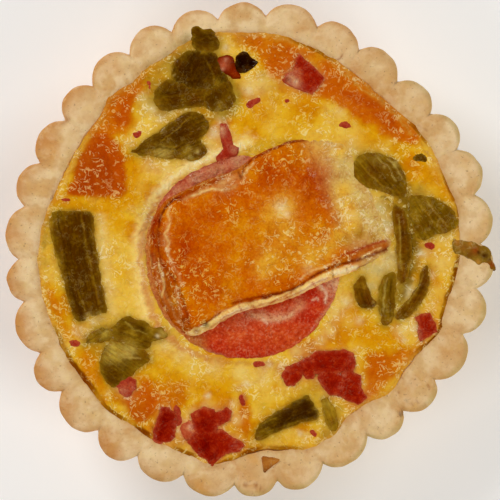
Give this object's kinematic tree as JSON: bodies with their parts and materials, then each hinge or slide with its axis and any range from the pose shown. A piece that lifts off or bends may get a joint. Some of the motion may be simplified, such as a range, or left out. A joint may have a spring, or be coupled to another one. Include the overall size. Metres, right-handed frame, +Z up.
{
  "type": "quiche",
  "caption": "Small round quiche in a fluted shortcrust case, its browned custard topped with cheese, tomato, ham and green stalks.",
  "frame": {"origin": "middle of the flat base, on the surface that the quiche stands on", "axes": "+Z up; seen from above with +Y up the page the quiche lies as in the picture, the thick side of the cheese towards -X"},
  "size_m": [0.1178, 0.1193, 0.0277],
  "materials": {
    "pastry": "matt baked shortcrust, browner at the tips of the flutes",
    "custard": "satin baked egg custard with browned blisters and an oily glaze",
    "tomato": "wet cut tomato flesh",
    "cheese": "browned soft cheese with an oily glaze and a pale rind",
    "stalk": "satin cooked green vegetable",
    "ham": "moist cured ham",
    "olive": "oily black olive",
    "pepper": "moist cooked red pepper",
    "scrap": "dry burnt scrap"
  },
  "bodies": {
    "root": {"crust": "pastry", "custard": "custard", "tomato_slice": "tomato", "cheese_slice": "cheese", "stalk_long_left": "stalk", "stalk_wedge": "stalk", "stalk_top_small": "stalk", "stalk_top_dark": "stalk", "stalk_top_middle": "stalk", "stalk_top_right": "stalk", "stalk_flake_left": "stalk", "stalk_stub_left": "stalk", "stalk_block_left": "stalk", "stalk_oval_right": "stalk", "stalk_outer_right": "stalk", "stalk_strip_right": "stalk", "stalk_strip_low": "stalk", "stalk_stub_low": "stalk", "stalk_bottom": "stalk", "stalk_bottom_pale": "stalk", "stalk_curved": "stalk", "ham_01": "ham", "ham_02": "ham", "ham_03": "ham", "ham_04": "ham", "ham_05": "ham", "ham_06": "ham", "ham_07": "ham", "ham_08": "ham", "ham_09": "ham", "ham_10": "ham", "ham_11": "ham", "ham_12": "ham", "ham_13": "ham", "ham_14": "ham", "olive": "olive", "red_pepper": "pepper", "baked_on_scrap": "scrap"}
  },
  "joints": []
}
